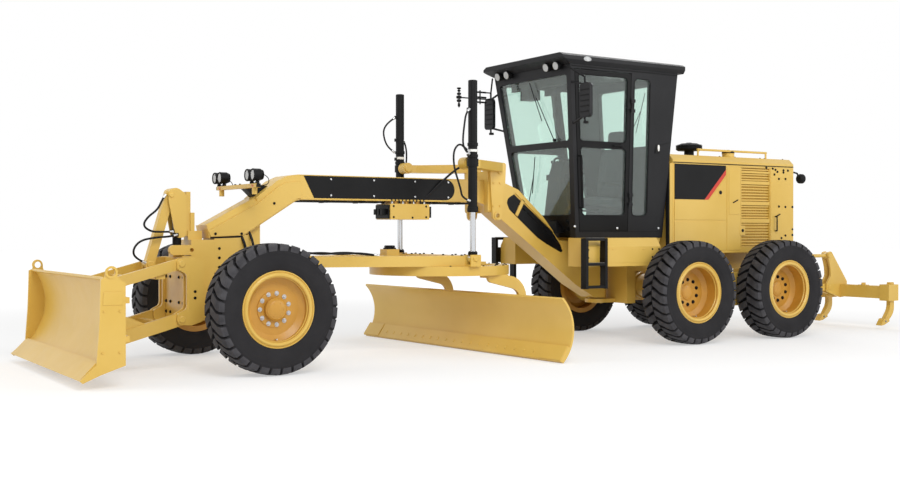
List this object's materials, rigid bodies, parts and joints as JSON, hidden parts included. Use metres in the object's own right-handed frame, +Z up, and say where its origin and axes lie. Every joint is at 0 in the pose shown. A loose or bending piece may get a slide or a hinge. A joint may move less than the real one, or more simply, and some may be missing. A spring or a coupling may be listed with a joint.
{
  "type": "motor grader",
  "caption": "Articulated motor grader with a cab, tandem rear wheels, a blade under its long arched frame, a push blade in front and a ripper behind.",
  "frame": {"origin": "On the ground under the middle of the machine's overall box", "axes": "+X forward to the push blade, +Y to the machine's left, +Z up"},
  "size_m": [10.745, 3.6623, 3.2616],
  "materials": {
    "yellow_paint": "gloss enamel",
    "rim_paint": "gloss enamel",
    "black_paint": "satin",
    "cab_paint": "satin",
    "glass": "clear",
    "plastic": "moulded",
    "seat_cloth": "woven",
    "chrome": "ground and plated",
    "cast_iron": "as cast",
    "tyre": "moulded"
  },
  "bodies": {
    "rear_frame": {"rear_frame": "yellow_paint", "rear_axle": "yellow_paint", "side_boxes": "yellow_paint", "ladders": "black_paint", "hood_top": "yellow_paint", "hood_sides": "yellow_paint", "engine_block": "cast_iron", "air_precleaner": "plastic", "cab_frame": "cab_paint", "cab_glass": "glass", "cab_roof": "cab_paint", "seat": "seat_cloth", "console": "plastic", "mirrors": "cab_paint"},
    "front_frame": {"front_frame": "yellow_paint", "work_lamps": "black_paint", "saddle": "yellow_paint", "dozer_mount": "yellow_paint", "dozer_lift_barrel": "black_paint"},
    "door_left": {"door_left": "cab_paint", "door_glass_left": "glass"},
    "door_right": {"door_right": "cab_paint", "door_glass_right": "glass"},
    "tandem_left": {"tandem_left": "yellow_paint"},
    "tandem_right": {"tandem_right": "yellow_paint"},
    "front_axle": {"front_axle": "yellow_paint"},
    "lean_left": {"lean_yoke_left": "yellow_paint"},
    "lean_right": {"lean_yoke_right": "yellow_paint"},
    "knuckle_left": {"knuckle_left": "yellow_paint"},
    "knuckle_right": {"knuckle_right": "yellow_paint"},
    "drawbar": {"drawbar": "yellow_paint"},
    "circle": {"circle": "yellow_paint"},
    "blade_carrier": {"blade_carrier": "yellow_paint"},
    "moldboard": {"moldboard": "yellow_paint"},
    "lift_barrel_left": {"lift_barrel_left": "black_paint"},
    "lift_barrel_right": {"lift_barrel_right": "black_paint"},
    "lift_rod_left": {"lift_rod_left": "chrome"},
    "lift_rod_right": {"lift_rod_right": "chrome"},
    "dozer_lower_frame": {"dozer_lower_frame": "yellow_paint"},
    "dozer_upper_arms": {"dozer_upper_arms": "yellow_paint"},
    "dozer_blade": {"dozer_blade": "yellow_paint"},
    "dozer_lift_head": {"dozer_lift_head": "yellow_paint"},
    "ripper_lower_link": {"ripper_lower_link": "yellow_paint"},
    "ripper_upper_link": {"ripper_upper_link": "yellow_paint"},
    "ripper_frame": {"ripper_frame": "yellow_paint"},
    "ripper_barrel": {"ripper_barrel": "black_paint"},
    "ripper_rod": {"ripper_rod": "chrome"},
    "wheel_rear_left_leading": {"tyre_rear_left_leading": "tyre", "rim_rear_left_leading": "rim_paint"},
    "wheel_rear_left_trailing": {"tyre_rear_left_trailing": "tyre", "rim_rear_left_trailing": "rim_paint"},
    "wheel_rear_right_leading": {"tyre_rear_right_leading": "tyre", "rim_rear_right_leading": "rim_paint"},
    "wheel_rear_right_trailing": {"tyre_rear_right_trailing": "tyre", "rim_rear_right_trailing": "rim_paint"},
    "wheel_front_left": {"tyre_front_left": "tyre", "rim_front_left": "rim_paint"},
    "wheel_front_right": {"tyre_front_right": "tyre", "rim_front_right": "rim_paint"}
  },
  "joints": [
    {"name": "articulation", "type": "hinge", "parent": "rear_frame", "child": "front_frame", "pos_m": [-1.1025, 0, 0.825], "axis": [0, 0, 1], "range_deg": [-20, 20]},
    {"name": "door_left_hinge", "type": "hinge", "parent": "rear_frame", "child": "door_left", "pos_m": [-1.11166, 0.55158, 1.4], "axis": [0.064, 0.1079, 0.9921], "range_deg": [0, 150]},
    {"name": "tandem_left_pivot", "type": "hinge", "parent": "rear_frame", "child": "tandem_left", "pos_m": [-2.3525, 0.64, 0.595], "axis": [0, 1, 0], "range_deg": [-15, 25]},
    {"name": "door_right_hinge", "type": "hinge", "parent": "rear_frame", "child": "door_right", "pos_m": [-1.11166, -0.55158, 1.4], "axis": [-0.064, 0.1079, -0.9921], "range_deg": [0, 150]},
    {"name": "tandem_right_pivot", "type": "hinge", "parent": "rear_frame", "child": "tandem_right", "pos_m": [-2.3525, -0.64, 0.595], "axis": [0, 1, 0], "range_deg": [-15, 25]},
    {"name": "wheel_rear_left_leading_roll", "type": "hinge", "parent": "tandem_left", "child": "wheel_rear_left_leading", "pos_m": [-1.5975, 1.05, 0.595], "axis": [0, 1, 0], "continuous": true},
    {"name": "wheel_rear_left_trailing_roll", "type": "hinge", "parent": "tandem_left", "child": "wheel_rear_left_trailing", "pos_m": [-3.1075, 1.05, 0.595], "axis": [0, 1, 0], "continuous": true},
    {"name": "wheel_rear_right_leading_roll", "type": "hinge", "parent": "tandem_right", "child": "wheel_rear_right_leading", "pos_m": [-1.5975, -1.05, 0.595], "axis": [0, 1, 0], "continuous": true},
    {"name": "wheel_rear_right_trailing_roll", "type": "hinge", "parent": "tandem_right", "child": "wheel_rear_right_trailing", "pos_m": [-3.1075, -1.05, 0.595], "axis": [0, 1, 0], "continuous": true},
    {"name": "wheel_front_left_roll", "type": "hinge", "parent": "knuckle_left", "child": "wheel_front_left", "pos_m": [3.5975, 1.05, 0.595], "axis": [0, 1, 0], "continuous": true},
    {"name": "wheel_front_right_roll", "type": "hinge", "parent": "knuckle_right", "child": "wheel_front_right", "pos_m": [3.5975, -1.05, 0.595], "axis": [0, 1, 0], "continuous": true},
    {"name": "front_axle_swing", "type": "hinge", "parent": "front_frame", "child": "front_axle", "pos_m": [3.5975, 0, 0.64], "axis": [1, 0, 0], "range_deg": [-16, 16]},
    {"name": "lean_left", "type": "hinge", "parent": "front_axle", "child": "lean_left", "pos_m": [3.5975, 0.69, 0.43], "axis": [1, 0, 0], "range_deg": [-18, 18]},
    {"name": "steer_left", "type": "hinge", "parent": "lean_left", "child": "knuckle_left", "pos_m": [3.5975, 0.8, 0.595], "axis": [0, 0, 1], "range_deg": [-47, 47]},
    {"name": "lean_right", "type": "hinge", "parent": "front_axle", "child": "lean_right", "pos_m": [3.5975, -0.69, 0.43], "axis": [1, 0, 0], "range_deg": [-18, 18]},
    {"name": "steer_right", "type": "hinge", "parent": "lean_right", "child": "knuckle_right", "pos_m": [3.5975, -0.8, 0.595], "axis": [0, 0, 1], "range_deg": [-47, 47]},
    {"name": "drawbar_lift", "type": "hinge", "parent": "front_frame", "child": "drawbar", "pos_m": [3.3075, 0, 0.96], "axis": [0, 1, 0], "range_deg": [-17, 9.5]},
    {"name": "lift_barrel_left_swing", "type": "hinge", "parent": "front_frame", "child": "lift_barrel_left", "pos_m": [1.2075, 0.75, 2.011], "axis": [0, 1, 0], "range_deg": [-2.56, 1.44]},
    {"name": "lift_rod_left_slide", "type": "slide", "parent": "lift_barrel_left", "child": "lift_rod_left", "axis": [0, 0, 1], "range_m": [-0.6241, 0.3492]},
    {"name": "lift_barrel_right_swing", "type": "hinge", "parent": "front_frame", "child": "lift_barrel_right", "pos_m": [1.2075, -0.75, 2.011], "axis": [0, 1, 0], "range_deg": [-2.56, 1.44]},
    {"name": "lift_rod_right_slide", "type": "slide", "parent": "lift_barrel_right", "child": "lift_rod_right", "axis": [0, 0, 1], "range_m": [-0.6241, 0.3492]},
    {"name": "circle_turn", "type": "hinge", "parent": "drawbar", "child": "circle", "pos_m": [1.1475, 0, 0.877], "axis": [0, 0, 1], "continuous": true},
    {"name": "blade_tilt", "type": "hinge", "parent": "circle", "child": "blade_carrier", "pos_m": [0.63325, -0.02785, 0.24], "axis": [-0.0541, 0.9985, 0], "range_deg": [-5, 40]},
    {"name": "blade_side_shift", "type": "slide", "parent": "blade_carrier", "child": "moldboard", "axis": [0.0541, -0.9985, 0], "range_m": [-0.66, 0.51]},
    {"name": "dozer_lift", "type": "hinge", "parent": "front_frame", "child": "dozer_lower_frame", "pos_m": [4.2075, 0, 0.48], "axis": [0, -1, 0], "range_deg": [-10, 28]},
    {"name": "dozer_upper_arms_swing", "type": "hinge", "parent": "front_frame", "child": "dozer_upper_arms", "pos_m": [4.2075, 0, 0.995], "axis": [0, -1, 0], "range_deg": [-10.5, 28.5]},
    {"name": "dozer_blade_level", "type": "hinge", "parent": "dozer_lower_frame", "child": "dozer_blade", "pos_m": [4.8675, 0, 0.3], "axis": [0, -1, 0], "range_deg": [-28.5, 10.5]},
    {"name": "dozer_head_slide", "type": "slide", "parent": "front_frame", "child": "dozer_lift_head", "axis": [0, 0, 1], "range_m": [-0.0343, 0.0924]},
    {"name": "ripper_lift", "type": "hinge", "parent": "rear_frame", "child": "ripper_lower_link", "pos_m": [-4.2025, 0, 0.53], "axis": [0, 1, 0], "range_deg": [-20, 28]},
    {"name": "ripper_upper_swing", "type": "hinge", "parent": "rear_frame", "child": "ripper_upper_link", "pos_m": [-4.2025, 0, 0.96], "axis": [0, 1, 0], "range_deg": [-20.5, 28.5]},
    {"name": "ripper_level", "type": "hinge", "parent": "ripper_lower_link", "child": "ripper_frame", "pos_m": [-4.9825, 0, 0.53], "axis": [0, 1, 0], "range_deg": [-28.5, 20.5]},
    {"name": "ripper_barrel_swing", "type": "hinge", "parent": "rear_frame", "child": "ripper_barrel", "pos_m": [-4.2025, 0, 0.9], "axis": [0, 1, 0], "range_deg": [-15.4, 21.48]},
    {"name": "ripper_rod_slide", "type": "slide", "parent": "ripper_barrel", "child": "ripper_rod", "axis": [-0.8664, 0, -0.4993], "range_m": [-0.1608, 0.1154]}
  ],
  "couplings": [
    {"joint": "lean_right", "follows": "lean_left", "ratio": 1},
    {"joint": "steer_right", "follows": "steer_left", "ratio": 1},
    {"joint": "lift_barrel_left_swing", "follows": "drawbar_lift", "ratio": 0.15},
    {"joint": "lift_rod_left_slide", "follows": "drawbar_lift", "m_per_rad": 2.1},
    {"joint": "lift_barrel_right_swing", "follows": "drawbar_lift", "ratio": 0.15},
    {"joint": "lift_rod_right_slide", "follows": "drawbar_lift", "m_per_rad": 2.1},
    {"joint": "dozer_upper_arms_swing", "follows": "dozer_lift", "ratio": 1},
    {"joint": "dozer_blade_level", "follows": "dozer_lift", "ratio": -1},
    {"joint": "dozer_head_slide", "follows": "dozer_lift", "m_per_rad": 0.185},
    {"joint": "ripper_upper_swing", "follows": "ripper_lift", "ratio": 1},
    {"joint": "ripper_level", "follows": "ripper_lift", "ratio": -1},
    {"joint": "ripper_barrel_swing", "follows": "ripper_lift", "ratio": 0.76},
    {"joint": "ripper_rod_slide", "follows": "ripper_lift", "m_per_rad": -0.325}
  ]
}
